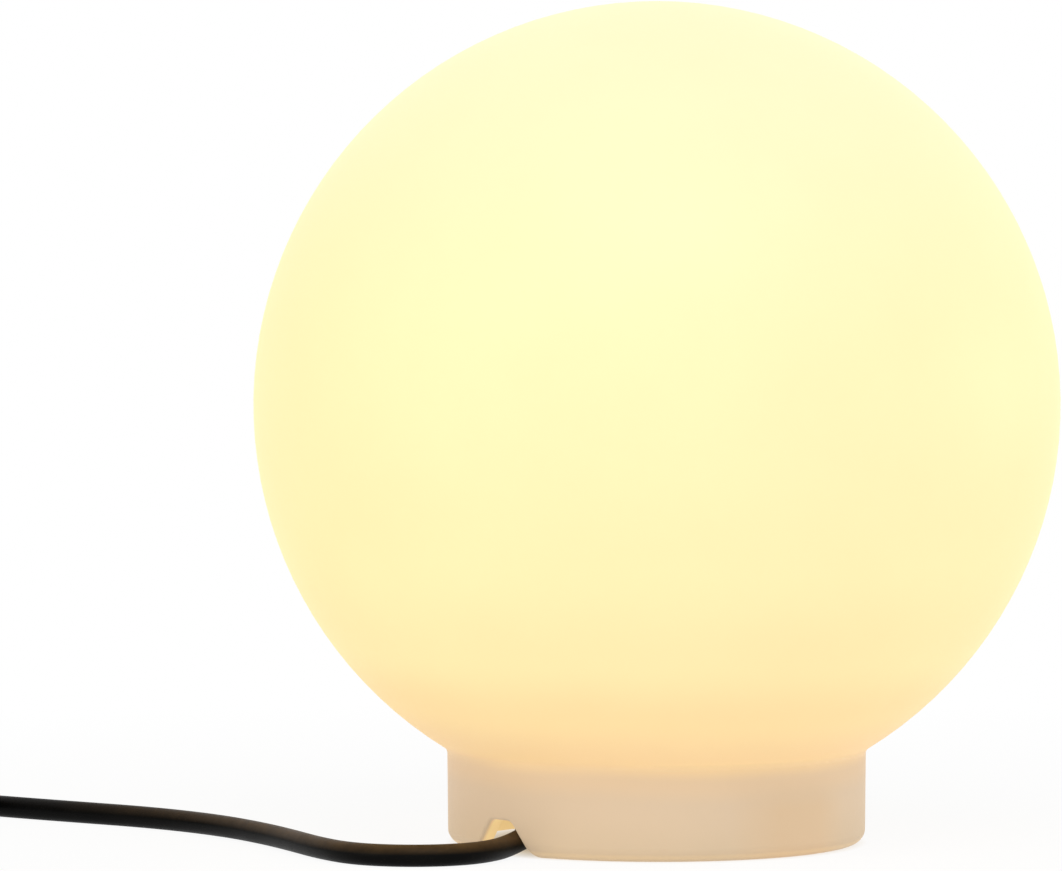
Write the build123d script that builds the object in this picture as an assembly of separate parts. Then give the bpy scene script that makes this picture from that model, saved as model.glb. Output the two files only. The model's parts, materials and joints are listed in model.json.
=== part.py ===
from build123d import *
import os
from math import acos, asin, atan2, cos, degrees, hypot, pi, radians, sin, sqrt, tan

# A garden globe light. Millimetres, +Z up. The origin is on the ground, on the globe's axis, and the
# front is -Y. Angles about Z run counter-clockwise from +X.

# ---- Driving dimensions ----
GLOBE_R = 125.0           # outside of the globe
GLOBE_Z = 136.0           # height of the globe's centre
GLOBE_WALL = 3.5
NECK_TOP_R = 65.0         # outside of the neck where it meets the globe
NECK_FOOT_R = 64.75       # outside of the neck at the ground
NECK_INNER_R = 59.3
NECK_BLEND = 2.5          # radius in the corner between globe and neck
RIM_FILLET = 4.4          # rounded outer edge of the rim
SHELF_Z = (29.5, 33.5)    # inward shelf that the base is screwed up against
SHELF_R = 47.0            # opening through the shelf
SCREW_ANGLES = (45.0, 165.0, 285.0)
GLOBE_SCREW_PCR = 53.0    # radius of the circle of globe screws
BOSS_TOP_Z = 41.5

NOTCH_ANGLE = 222.0       # where the cable notch is
NOTCH_HEIGHT = 11.0
NOTCH_FOOT_W = 26.0
NOTCH_TOP_W = 9.0
NOTCH_CORNER = 4.0
NOTCH_SOFTEN = 1.0

TRAY_R = 58.6
TRAY_Z = (24.0, 27.5)
CHAMBER_R = (41.5, 44.0)  # wiring chamber wall, inside and outside
CHAMBER_Z = 5.0           # its lower edge
COVER_Z = (2.0, 4.0)
COVER_SCREW_PCR = 38.5
FOOT_ANGLES = (0.0, 90.0, 180.0, 270.0)

GLAND_ANGLE = 225.0
GLAND_WALL_D = (12.0, 15.0)  # distance of the gland's wall from the lamp's axis
GLAND_Z = 14.7
GLAND_TILT = 10.0         # degrees below the horizontal
GLAND_HEX = 16.0          # across flats
GLAND_THREAD_R = 6.2
GLAND_FACE_R = 9.6        # the level spot the gland's washer and locknut sit on
GLAND_LENGTH = 23.0       # from the wall to the mouth
POCKET_W = 28.0
POCKET_WALL = 2.5

CORD_R = 3.4
WIRE_R = 1.2
WIRE_HOLE_R = 5.2
SHEATH_INSIDE = 20.0      # sheathed cord inside the wall
CORD_FIT = 0.05           # clearance of a bore that grips the cord

HOLDER_R = (18.0, 20.5)   # lampholder wall, inside and outside
HOLDER_TOP_Z = 83.7
THREAD_PITCH = 3.629      # seven threads to the inch
CAP_R = 12.8              # middle of the lamp cap's thread
CAP_Z = (66.0, 86.0)
TIP_Z = 60.3              # lowest point of the bulb
BULB_R = 30.0
BULB_DOME_Z = 138.0
BULB_JOIN_Z = 121.0
BULB_JOIN_R = 28.6

COIL_CENTRE = (-264.0, 54.0)
COIL_REACH = 42.0         # radius of the outermost turn's middle line
COIL_PITCH = 7.4          # from turn to turn, and from layer to layer
COIL_EASE = 1.05          # how much further a climbing half turn stands off
COIL_FLOOR_Z = CORD_R + 1.1
COIL_HALF_TURNS = 3       # half turns of each layer between its climbs
TIE_T = 1.0
TIE_W = 10.0

PLUG_AXIS_Z = 13.0
PLUG_SIZE = (36.0, 26.0)  # across the pins, and thickness
PLUG_BODY_L = 28.0
PLUG_WAIST_L = 20.0
PLUG_BOOT_L = 30.0
PIN_R = 2.4
PIN_ROOT_R = 1.9          # where the pin is moulded into the body
PIN_LENGTH = 19.0
PIN_SPACING = 19.0

ON_BASE = (Align.CENTER, Align.CENTER, Align.MIN)


# ---- Small helpers ----
def polar(radius, angle, z=0.0):
    """A point at a radius and an angle about the lamp's axis."""
    return (radius * cos(radians(angle)), radius * sin(radians(angle)), z)


def rod(radius, z0, z1):
    """A cylinder on the lamp's axis between two heights."""
    return Pos(0, 0, z0) * Cylinder(radius, z1 - z0, align=ON_BASE)


def ring(inner, outer, z0, z1):
    """A flat-ended tube on the lamp's axis between two heights."""
    return rod(outer, z0, z1) - rod(inner, z0, z1)


def turned(outline):
    """A solid of revolution from edges or points given as (radius, z)."""
    if not isinstance(outline[0], Edge):
        outline = Polyline(*outline, close=True).edges()
    return revolve(Plane.XZ * make_face(outline), Axis.Z)


def hexagon(across, z0, z1):
    """A hexagonal prism on the local Z axis, with two flats level."""
    return Pos(0, 0, z0) * extrude(RegularPolygon(across / 2, 6, major_radius=False), z1 - z0)


def tube(path, radius):
    """A round tube along a path, with its volume set against section times length."""
    solid = sweep(Plane(origin=path @ 0, z_dir=path % 0) * Circle(radius), path=path)
    print(f"  tube: length {path.length:.1f}, volume ratio {solid.volume / (pi * radius**2 * path.length):.4f}")
    return solid


def smooth_route(points, name):
    """Straight runs joined by nearly the largest tangent arcs that the runs allow."""
    points = [Vector(*p) for p in points]
    radii = []
    for before, here, after in zip(points, points[1:], points[2:]):
        half = radians((here - before).get_angle(after - here)) / 2
        radii.append(0.48 * min((here - before).length, (after - here).length) / tan(half))
    print(f"{name}: radii", [round(r, 1) for r in radii])
    return Wire(FilletPolyline(*points, radius=radii).edges())


GLAND_DIR = Vector(*polar(cos(radians(GLAND_TILT)), GLAND_ANGLE, -sin(radians(GLAND_TILT))))
GLAND = Plane(
    origin=polar(GLAND_WALL_D[1], GLAND_ANGLE, GLAND_Z),
    x_dir=Vector(*polar(1, GLAND_ANGLE + 90)),
    z_dir=GLAND_DIR,
)
WIRING = Rot(0, 0, GLAND_ANGLE - 180)   # local +X points away from the gland


def gland_point(along):
    """A point on the gland's axis, so far outside its wall."""
    return GLAND.origin + GLAND_DIR * along


# ---- Globe ----
def arc_about(z, radius, z_from, z_to):
    """An arc of a circle centred on the axis at height z, on its outer side, between two heights."""
    a, b = (asin(max(-1.0, min(1.0, (h - z) / radius))) for h in (z_from, z_to))
    return ThreePointArc(*((radius * cos(t), z + radius * sin(t)) for t in (a, (a + b) / 2, b)))


def globe_shell():
    inner = GLOBE_R - GLOBE_WALL
    join_z = GLOBE_Z - sqrt(GLOBE_R**2 - NECK_TOP_R**2)
    shelf_r = sqrt(inner**2 - (GLOBE_Z - SHELF_Z[1]) ** 2)
    top, inner_top = GLOBE_Z + GLOBE_R, GLOBE_Z + inner
    outline = [
        arc_about(GLOBE_Z, GLOBE_R, top, join_z),
        Polyline(
            (NECK_TOP_R, join_z), (NECK_FOOT_R, 0), (NECK_INNER_R, 0), (NECK_INNER_R, SHELF_Z[0]),
            (SHELF_R, SHELF_Z[0]), (SHELF_R, SHELF_Z[1]), (shelf_r, SHELF_Z[1]),
        ),
        arc_about(GLOBE_Z, inner, SHELF_Z[1], inner_top),
        Line((0, inner_top), (0, top)),
    ]
    face = make_face([e for line in outline for e in line.edges()])
    for corner, radius in (((NECK_TOP_R, join_z), NECK_BLEND), ((NECK_FOOT_R, 0), RIM_FILLET),
                           ((SHELF_R, SHELF_Z[1]), 1.5), ((shelf_r, SHELF_Z[1]), 2.0)):
        face = fillet(face.vertices().sort_by_distance((*corner, 0))[0], radius)
    shell = revolve(Plane.XZ * face, Axis.Z)
    for angle in SCREW_ANGLES:
        x, y, _ = polar(GLOBE_SCREW_PCR, angle)
        shell += Pos(x, y, SHELF_Z[0]) * Cylinder(5, BOSS_TOP_Z - SHELF_Z[0], align=ON_BASE)
        shell -= Pos(x, y, SHELF_Z[0]) * Cylinder(1.65, 9.5, align=ON_BASE)
    arch = fillet(
        Polygon((-NOTCH_FOOT_W / 2, 0), (NOTCH_FOOT_W / 2, 0), (NOTCH_TOP_W / 2, NOTCH_HEIGHT),
                (-NOTCH_TOP_W / 2, NOTCH_HEIGHT), align=None).vertices().group_by(Axis.Y)[-1],
        NOTCH_CORNER)
    cut = Plane(origin=polar(50, NOTCH_ANGLE), x_dir=Vector(*polar(1, NOTCH_ANGLE + 90)),
                z_dir=Vector(*polar(1, NOTCH_ANGLE))) * extrude(arch, 30)
    shell -= cut
    outer_notch = [e for e in shell.edges() if on_notch_face(e)]
    return fillet(outer_notch, NOTCH_SOFTEN)


def on_notch_face(edge):
    """Whether an edge is where the notch meets the neck's outer wall."""
    middle = edge @ 0.5
    radius = hypot(middle.X, middle.Y)
    turn = (degrees(atan2(middle.Y, middle.X)) - NOTCH_ANGLE + 180) % 360 - 180
    return abs(turn) < 14 and 62.5 < radius < 66 and RIM_FILLET < middle.Z < NOTCH_HEIGHT + 1


# ---- Base ----
def chamber_outline():
    """The wiring chamber's wall seen from above, with the pocket that the gland stands in."""
    inner, outer = CHAMBER_R
    near, far = GLAND_WALL_D
    turn = Rot(0, 0, GLAND_ANGLE)
    frame = turn * Pos((near + outer) / 2, 0) * Rectangle(outer - near, POCKET_W + 2 * POCKET_WALL)
    wall = (Circle(outer) - Circle(inner)) + (frame & Circle(outer))
    return wall - turn * Pos(far + outer / 2, 0) * Rectangle(outer, POCKET_W)


def chamber_floor_outline():
    """The whole chamber seen from above, without the gland's pocket."""
    outer, far = CHAMBER_R[1], GLAND_WALL_D[1]
    pocket = Rot(0, 0, GLAND_ANGLE) * Pos(far + outer / 2, 0) * Rectangle(outer, POCKET_W)
    return Circle(outer) - pocket


def below_tray():
    """The space from the chamber's edge up to the tray's underside."""
    return rod(TRAY_R, CHAMBER_Z, TRAY_Z[0])


def base_tray():
    tray = rod(TRAY_R, *TRAY_Z) + ring(TRAY_R - 2, TRAY_R, 16, TRAY_Z[0])
    tray += Pos(0, 0, CHAMBER_Z) * extrude(chamber_outline(), TRAY_Z[0] - CHAMBER_Z)
    # an angled seat that stands square to the gland
    spot = Cylinder(GLAND_FACE_R, 3, align=ON_BASE)
    tray += (GLAND * Pos(0, 0, -3) * spot) & below_tray()
    tray -= (GLAND * spot) & below_tray()
    tray -= (GLAND * Pos(0, 0, -6) * spot) & below_tray()
    tray -= GLAND * Pos(0, 0, -8) * Cylinder(GLAND_THREAD_R + 0.1, 12, align=ON_BASE)
    # saddle over the cord, for its clamp
    saddle = GLAND * (Pos(0, 9.6, -13.5) * Box(24, 18, 7) - Pos(0, 0, -13.5) * Cylinder(CORD_R + CORD_FIT, 8))
    tray += saddle & below_tray()
    tray -= GLAND * (Pos(0, 0, -17.2) * Cylinder(CORD_R + CORD_FIT, 7.4, align=ON_BASE))
    for side in (-1, 1):
        tray -= GLAND * (Pos(side * 8.5, 0.6, -13.5) * Rot(-90, 0, 0) * Cylinder(1.4, 6, align=ON_BASE))
        x, y = 0, side * 23.5
        tray += WIRING * Pos(x, y, 16) * Cylinder(3.5, 8, align=ON_BASE)
        tray -= WIRING * Pos(x, y, 17) * Cylinder(1.55, 11, align=ON_BASE)
    for angle in SCREW_ANGLES:
        x, y, _ = polar(COVER_SCREW_PCR, angle)
        tray += Pos(x, y, CHAMBER_Z) * Cylinder(3.8, TRAY_Z[0] - CHAMBER_Z, align=ON_BASE)
        tray -= Pos(x, y, CHAMBER_Z) * Cylinder(1.3, 12, align=ON_BASE)
        x, y, _ = polar(GLOBE_SCREW_PCR, angle)
        tray -= Pos(x, y, TRAY_Z[0]) * Cylinder(2.2, 4, align=ON_BASE)
    return tray - WIRING * Pos(12, 0, TRAY_Z[0]) * Cylinder(WIRE_HOLE_R, 4, align=ON_BASE)


def neck_seal():
    return ring(56.0, TRAY_R, TRAY_Z[1], SHELF_Z[0] - 0.3)


def pan_screw(head_r, head_h, shank_r, length):
    """A pan-head screw that points up, its head's underside at z = 0."""
    head = turned([(0, -head_h), (head_r * 0.7, -head_h), (head_r, -head_h * 0.45), (head_r, 0), (0, 0)])
    point = turned([(0, 0), (shank_r, 0), (shank_r, length - shank_r), (0.3, length), (0, length)])
    slot = Pos(0, 0, -head_h) * (Box(head_r * 1.1, 0.8, 1.4) + Box(0.8, head_r * 1.1, 1.4))
    return head + point - slot


def on_circle(radius, angles, z, piece):
    return Compound([Pos(*polar(radius, a, z)) * piece for a in angles])


def globe_screws():
    return on_circle(GLOBE_SCREW_PCR, SCREW_ANGLES, TRAY_Z[0], pan_screw(3.6, 2.6, 1.55, 12.5).solid())


def bottom_cover():
    cover = Pos(0, 0, COVER_Z[0]) * extrude(chamber_floor_outline(), COVER_Z[1] - COVER_Z[0])
    for angle in SCREW_ANGLES:
        cover -= Pos(*polar(COVER_SCREW_PCR, angle, COVER_Z[0])) * Cylinder(1.6, 3, align=ON_BASE)
    return chamfer(cover.edges().group_by(Axis.Z)[0].sort_by(SortBy.LENGTH)[-1], 0.8)


def cover_gasket():
    gasket = Pos(0, 0, COVER_Z[1]) * extrude(chamber_outline(), CHAMBER_Z - COVER_Z[1])
    for angle in SCREW_ANGLES:
        x, y, _ = polar(COVER_SCREW_PCR, angle)
        gasket += Pos(x, y, COVER_Z[1]) * Cylinder(3.8, CHAMBER_Z - COVER_Z[1], align=ON_BASE)
        gasket -= Pos(x, y, COVER_Z[1]) * Cylinder(1.6, 2, align=ON_BASE)
    return gasket


def cover_screws():
    return on_circle(COVER_SCREW_PCR, SCREW_ANGLES, COVER_Z[0], pan_screw(3.0, 1.6, 1.25, 14).solid())


def rubber_feet():
    foot = turned([(0, 0), (4.4, 0), (5, 0.6), (5, COVER_Z[0]), (0, COVER_Z[0])])
    return on_circle(30.0, FOOT_ANGLES, 0, foot.solid())


# ---- Cord entry ----
def gland_body():
    body = hexagon(GLAND_HEX, 1.5, 6.5)
    body += Pos(0, 0, -8) * Cylinder(GLAND_THREAD_R, 22, align=ON_BASE)
    body -= Pos(0, 0, -9) * Cylinder(3.8, 25, align=ON_BASE)
    return GLAND * (body - Pos(0, 0, 8) * Cylinder(4.9, 7, align=ON_BASE))


def gland_washer():
    washer = Cylinder(7.8, 1.5, align=ON_BASE) - Cylinder(GLAND_THREAD_R + 0.05, 1.5, align=ON_BASE)
    return GLAND * washer


def gland_locknut():
    nut = hexagon(GLAND_HEX, -7, -3) - Pos(0, 0, -7.5) * Cylinder(GLAND_THREAD_R + 0.05, 5, align=ON_BASE)
    return GLAND * nut


def gland_seal():
    bore = CORD_R + CORD_FIT
    return GLAND * turned([(bore, 8.2), (4.8, 8.2), (4.8, 14.5), (4.2, 17), (bore, 17)])


def gland_dome_nut():
    nut = hexagon(GLAND_HEX, 8.5, 16.5)
    nut += turned([(0, 8.5), (7.3, 8.5), (7.8, 16.5), (7.3, 19.5), (5.8, 22.2), (4.8, GLAND_LENGTH),
                   (0, GLAND_LENGTH)])
    thread = GLAND_THREAD_R + 0.05
    bore = turned([(0, 8), (thread, 8), (thread, 14.4), (4.9, 17.4), (3.8, 17.6), (3.8, 24), (0, 24)])
    return GLAND * (nut - bore)


def cord_inner():
    length = GLAND_LENGTH + SHEATH_INSIDE
    return GLAND * (Pos(0, 0, -SHEATH_INSIDE) * Cylinder(CORD_R, length, align=ON_BASE))


def cord_clamp():
    bar = Pos(0, -2.8, -13.5) * Box(24, 4.4, 6.6)
    bar -= Pos(0, 0, -17) * Cylinder(CORD_R + CORD_FIT, 7, align=ON_BASE)
    for side in (-1, 1):
        bar -= Pos(side * 8.5, -2.8, -13.5) * Rot(90, 0, 0) * Cylinder(1.6, 6)
    return GLAND * bar


def clamp_screws():
    screw = pan_screw(2.6, 1.8, 1.35, 9).solid()
    return Compound([(GLAND * Pos(s * 8.5, -5.0, -13.5) * Rot(-90, 0, 0)) * screw for s in (-1, 1)])


# ---- Wiring ----
BLOCK_X = (16.0, 30.0)
BLOCK_Z = (11.0, 24.0)
INSERT_Y = 5.0
INSERT_Z = 17.5
SCREW_X = (19.5, 26.5)


def terminal_block():
    middle = (BLOCK_X[0] + BLOCK_X[1]) / 2
    block = Pos(middle, 0, BLOCK_Z[0]) * Box(BLOCK_X[1] - BLOCK_X[0], 19, 13, align=ON_BASE)
    for side in (-1, 1):
        block -= Pos(middle, side * INSERT_Y, INSERT_Z) * Rot(0, 90, 0) * Cylinder(2.65, 16)
        for x in SCREW_X:
            block -= Pos(x, side * INSERT_Y, BLOCK_Z[0]) * Cylinder(1.8, 6, align=ON_BASE)
    return WIRING * block


def terminal_inserts():
    pieces = []
    for side in (-1, 1):
        sleeve = Pos(23, side * INSERT_Y, INSERT_Z) * Rot(0, 90, 0) * (Cylinder(2.6, 13) - Cylinder(1.5, 14))
        for x in SCREW_X:
            sleeve -= Pos(x, side * INSERT_Y, 14) * Cylinder(1.3, 3.5, align=ON_BASE)
        pieces.append((WIRING * sleeve).solid())
    return Compound(pieces)


def terminal_screws():
    screw = Cylinder(1.7, 1.6, align=ON_BASE) + Pos(0, 0, 1.6) * Cylinder(1.2, 3.2, align=ON_BASE)
    screw -= Box(4, 0.6, 1.2)
    places = [(x, s * INSERT_Y) for x in SCREW_X for s in (-1, 1)]
    return Compound([WIRING * Pos(x, y, 11.4) * screw.solid() for x, y in places])


def wire(points, name):
    """An insulated core through points given in the wiring's own directions."""
    return WIRING * tube(smooth_route(points, name), WIRE_R)


def supply_wire(side, name):
    start_x = -GLAND_WALL_D[1] + SHEATH_INSIDE * cos(radians(GLAND_TILT)) + 0.3
    start_z = GLAND_Z + SHEATH_INSIDE * sin(radians(GLAND_TILT))
    return wire([(start_x, side * 1.5, start_z), (start_x + 4, side * 1.6, start_z + 0.4),
                 (start_x + 9, side * INSERT_Y, INSERT_Z), (21.5, side * INSERT_Y, INSERT_Z)], name)


def lamp_wire(side, name):
    return wire([(24.5, side * INSERT_Y, INSERT_Z), (33, side * INSERT_Y, INSERT_Z),
                 (33, side * 13.5, INSERT_Z + 0.3), (15, side * 13.5, INSERT_Z + 0.6),
                 (12, side * 5.4, 19.0), (12, side * 3.2, 23.5), (12, side * 3.2, 41)], name)


# ---- Lampholder ----
def lampholder_housing():
    inner, outer = HOLDER_R
    body = turned([(0, TRAY_Z[1]), (27.5, TRAY_Z[1]), (27.5, 30.2), (26.7, 31), (outer + 1.5, 31),
                   (outer + 0.4, 33.5), (outer, 52), (outer - 0.4, HOLDER_TOP_Z - 1),
                   (outer - 1.4, HOLDER_TOP_Z), (inner, HOLDER_TOP_Z), (inner, 33.5), (0, 33.5)])
    body -= WIRING * Pos(12, 0, 27) * Cylinder(WIRE_HOLE_R, 8, align=ON_BASE)
    for side in (-1, 1):
        body -= WIRING * Pos(0, side * 23.5, 27) * Cylinder(1.9, 5, align=ON_BASE)
        body -= WIRING * Pos(0, side * 23.5, 31) * Cylinder(3.1, 5, align=ON_BASE)
    return body


def lampholder_screws():
    screw = Rot(180, 0, 0) * pan_screw(2.8, 2.0, 1.5, 12)
    return Compound([WIRING * Pos(0, side * 23.5, 31) * screw.solid() for side in (-1, 1)])


def lampholder_core():
    core = turned([(0, 45), (17.6, 45), (17.6, 83), (15.1, 83), (15.1, 57), (0, 57)])
    return core - WIRING * Pos(-6, 0, 44) * Cylinder(1.5, 14, align=ON_BASE)


def wave(radius, swing, z0, crests):
    """Arcs that swing in and out of a radius, one crest for each thread."""
    half = THREAD_PITCH / 2
    arcs = []
    for i in range(2 * crests):
        z = z0 + i * half
        out = radius + (swing if i % 2 == 0 else -swing)
        arcs.append(ThreePointArc((radius, z), (out, z + half / 2), (radius, z + half)))
    return arcs


def ribbed_sleeve(radius, swing, wall, z0, crests, top):
    """A thin rolled sleeve, ribbed like a screw thread, with a plain band above the ribs."""
    last = z0 + crests * THREAD_PITCH
    inner, outer = wave(radius, swing, z0, crests), wave(radius + wall, swing, z0, crests)
    lines = [Line((radius, z0), (radius + wall, z0)),
             Polyline((radius + wall, last), (radius + wall, top), (radius, top), (radius, last))]
    return turned([e for line in [*inner, *outer, *lines] for e in line.edges()])


def threaded_sleeve():
    return ribbed_sleeve(13.95, 0.3, 0.45, 60.0, 6, 83.0)


def centre_contact():
    strip = Polygon((-8, 57), (-4, 57), (-1.6, 59.4), (2.2, 59.4), (2.2, 60.0), (-1.9, 60.0), (-4.3, 57.6),
                    (-8, 57.6), align=None)
    return WIRING * (Plane.XZ * extrude(strip, 2.5, both=True))


def holder_terminals():
    block = Pos(12, 0, 39) * Box(6, 5.6, 6, align=ON_BASE)
    pieces = []
    for side in (-1, 1):
        piece = Pos(0, side * 3.8, 0) * block - Pos(12, side * 3.2, 38) * Cylinder(1.25, 3, align=ON_BASE)
        pieces.append((WIRING * piece).solid())
    return Compound(pieces)


def bulb_seal():
    return turned([(14.5, 84.0), (19.6, 84.0), (20.2, 84.8), (19.6, 86.6), (16.2, 88.8), (14.5, 88.8)])


# ---- Bulb ----
def cap_shell():
    plain = ribbed_sleeve(CAP_R - 0.45, 0.4, 0.45, CAP_Z[0], 5, CAP_Z[1])
    cone = turned([(9.4, 63.4), (9.9, 63.4), (CAP_R, CAP_Z[0] + 0.01), (CAP_R - 0.45, CAP_Z[0] + 0.01)])
    return plain + cone


def cap_insulator():
    return turned([(0, 61.6), (4.4, 61.6), (9.3, 63.4), (9.3, 64.6), (0, 64.6)])


def cap_contact():
    return turned([(0, TIP_Z), (2.6, TIP_Z), (4.2, 60.9), (4.2, 61.6), (0, 61.6)])


def bulb_housing():
    skirt = [Polyline((12.6, 86), (14.2, 86), (14.2, 91)),
             ThreePointArc((14.2, 91), (20.2, 104.5), (BULB_JOIN_R, BULB_JOIN_Z)),
             Line((BULB_JOIN_R, BULB_JOIN_Z), (27.1, BULB_JOIN_Z)),
             ThreePointArc((27.1, BULB_JOIN_Z), (18.7, 105.2), (12.6, 91)),
             Line((12.6, 91), (12.6, 86))]
    return turned([e for line in skirt for e in line.edges()])


def bulb_dome():
    wall = 1.2
    r, top = BULB_R, BULB_DOME_Z + BULB_R
    q = sin(radians(45))
    lines = [
        ThreePointArc((BULB_JOIN_R, BULB_JOIN_Z), (29.7, 129.6), (r, BULB_DOME_Z)),
        ThreePointArc((r, BULB_DOME_Z), (r * q, BULB_DOME_Z + r * q), (0, top)),
        Line((0, top), (0, top - wall)),
        ThreePointArc((0, top - wall), ((r - wall) * q, BULB_DOME_Z + (r - wall) * q), (r - wall, BULB_DOME_Z)),
        ThreePointArc((r - wall, BULB_DOME_Z), (28.5, 129.6), (BULB_JOIN_R - wall, BULB_JOIN_Z)),
        Line((BULB_JOIN_R - wall, BULB_JOIN_Z), (BULB_JOIN_R, BULB_JOIN_Z)),
    ]
    return turned([e for line in lines for e in line.edges()])


def led_board():
    return rod(27.3, BULB_JOIN_Z, BULB_JOIN_Z + 1.6) - rod(1.6, BULB_JOIN_Z - 1, BULB_JOIN_Z + 3)


def led_chips():
    chip = Pos(0, 0, BULB_JOIN_Z + 1.6) * Box(3.5, 2.8, 0.8, align=ON_BASE)
    return Compound([(Rot(0, 0, 30 * i) * Pos(17, 0, 0) * chip).solid() for i in range(12)])


def driver_board():
    board = Pos(0, 0, 89) * Box(20, 1.6, 29, align=ON_BASE)
    board += Pos(0, 4.3, 100) * Cylinder(4, 14, align=ON_BASE)
    return board + Pos(0, -3.6, 98) * Box(11, 6, 10, align=ON_BASE)


# ---- Free cord, coil and plug ----
MOUTH = gland_point(GLAND_LENGTH)
FLOOR_Z = CORD_R
COIL_START_R = COIL_REACH - COIL_EASE
COIL_LEAD = 8.0           # straight lead into the coil
COIL_IN = (COIL_CENTRE[0] + COIL_LEAD, COIL_CENTRE[1] + COIL_START_R)

# The free cord's route, chosen by hand from the photographed curve.
CORD_ROUTE = [
    (MOUTH.X, MOUTH.Y, MOUTH.Z),
    (MOUTH.X + GLAND_DIR.X * 10, MOUTH.Y + GLAND_DIR.Y * 10, MOUTH.Z + GLAND_DIR.Z * 10),
    (-44.3, -45.6, FLOOR_Z),
    (-52.2, -66.4, FLOOR_Z),
    (-64.2, -75.7, FLOOR_Z),
    (-79.3, -77.0, FLOOR_Z),
    (-93.0, -70.0, FLOOR_Z),
    (-103.2, -52.7, FLOOR_Z),
    (-111.2, -33.0, FLOOR_Z),
    (-121.3, -10.5, FLOOR_Z),
    (-136.0, 14.5, FLOOR_Z),
    (-158.0, 38.5, FLOOR_Z),
    (-186.0, 58.0, FLOOR_Z),
    (-208.0, 74.0, FLOOR_Z),
    (-225.0, 87.5, FLOOR_Z),
    (-240.0, COIL_IN[1], COIL_FLOOR_Z),
    (COIL_IN[0], COIL_IN[1], COIL_FLOOR_Z),
]


def coil_path():
    """Straight lead, half turns in four layers, and an easy way down to the plug."""
    def place(u, v, z):
        return Vector(COIL_CENTRE[0] - v, COIL_CENTRE[1] + u, z)

    half_step, rise = COIL_PITCH / 2, COIL_PITCH
    z, reach, side = COIL_FLOOR_Z, COIL_START_R, 1
    edges = [Line(place(reach, -COIL_LEAD, z), place(reach, 0, z)).edge()]
    shorter = True
    for layer in range(4):
        for turn in range(COIL_HALF_TURNS if layer < 3 else COIL_HALF_TURNS - 1):
            first, last = turn == 0 and layer > 0, turn == COIL_HALF_TURNS - 1
            step = half_step + COIL_EASE * (first + last)
            after = reach - step if shorter else reach + step
            edges.append(half_turn(place, reach, after, side, z, z))
            reach, side = after, -side
        if layer < 3:
            edges.append(half_turn(place, reach, reach, side, z, z + rise))
            z, side, shorter = z + rise, -side, not shorter
    # a last quarter turn, then the way down
    after = reach + half_step
    radius, middle = (reach + after) / 2, side * (reach - after) / 2
    bend = place(middle + side * radius * cos(pi / 4), side * radius * sin(pi / 4), z)
    end = place(middle, side * radius, z)
    edges.append(ThreePointArc(place(side * reach, 0, z), bend, end).edge())
    return Wire(edges + way_down(end, z))


def half_turn(place, reach, after, side, z0, z1):
    """Half a turn from one side of the coil to the other, level or climbing."""
    radius, middle = (reach + after) / 2, side * (reach - after) / 2
    start, end = place(side * reach, 0, z0), place(-side * after, 0, z1)
    lean = hypot(radius, (z1 - z0) / 2)
    top = place(middle, side * lean, (z0 + z1) / 2)
    return ThreePointArc(start, top, end).edge()


def way_down(start, z):
    """Past the coil's edge, down in two easy arcs, and straight into the plug's boot."""
    clear_run, radius, last_run = 22.0, 30.0, 8.0
    fall = z - PLUG_AXIS_Z
    turn = acos(1 - fall / (2 * radius))
    y0 = start.Y - clear_run
    half = turn / 2
    first = [(y0, z), (y0 - radius * sin(half), z - radius * (1 - cos(half))),
             (y0 - radius * sin(turn), z - radius * (1 - cos(turn)))]
    y2 = first[2][0] - radius * sin(turn)
    second = [first[2], (y2 + radius * sin(half), PLUG_AXIS_Z + radius * (1 - cos(half))), (y2, PLUG_AXIS_Z)]
    at = [[Vector(start.X, y, h) for y, h in arc] for arc in (first, second)]
    return [Line(start, at[0][0]).edge(), ThreePointArc(*at[0]).edge(), ThreePointArc(*at[1]).edge(),
            Line(at[1][2], Vector(start.X, y2 - last_run, PLUG_AXIS_Z)).edge()]


def least_gap(path, radius):
    """The smallest space between stretches of one tube that are over two diameters apart along it."""
    steps = int(path.length / 2.0)
    points = [path @ (i / steps) for i in range(steps + 1)]
    skip = int(4.5 * radius / 2.0) + 3
    gaps = [(points[i] - points[j]).length for i in range(len(points)) for j in range(i + skip, len(points))
            if abs(points[i].Z - points[j].Z) < 3 * radius and abs(points[i].X - points[j].X) < 3 * radius]
    return min(gaps) - 2 * radius


def coil_tie():
    """A soft strap round all the turns, on the coil's side that faces the lamp's front."""
    inner_r, outer_r = COIL_REACH - 1.5 * COIL_PITCH - 2 * COIL_EASE - CORD_R - 0.9, COIL_REACH + CORD_R + 0.9
    width, height = outer_r - inner_r, 3 * COIL_PITCH + 2 * CORD_R + 0.6
    section = RectangleRounded(width + 2 * TIE_T, height + 2 * TIE_T, CORD_R + TIE_T)
    section -= RectangleRounded(width, height, CORD_R)
    band = Rot(90, 0, 0) * extrude(section, TIE_W / 2, both=True)
    lift = height / 2 + TIE_T
    return Pos(COIL_CENTRE[0], COIL_CENTRE[1] - (inner_r + outer_r) / 2, lift) * Rot(0, 0, 90) * band


def plug_places(path):
    """The plane of the plug's pin face, its Z along the pins."""
    end = path @ 1
    return Plane(origin=(end.X, end.Y - PLUG_BOOT_L - PLUG_WAIST_L - PLUG_BODY_L, PLUG_AXIS_Z),
                 x_dir=(1, 0, 0), z_dir=(0, -1, 0))


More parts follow.
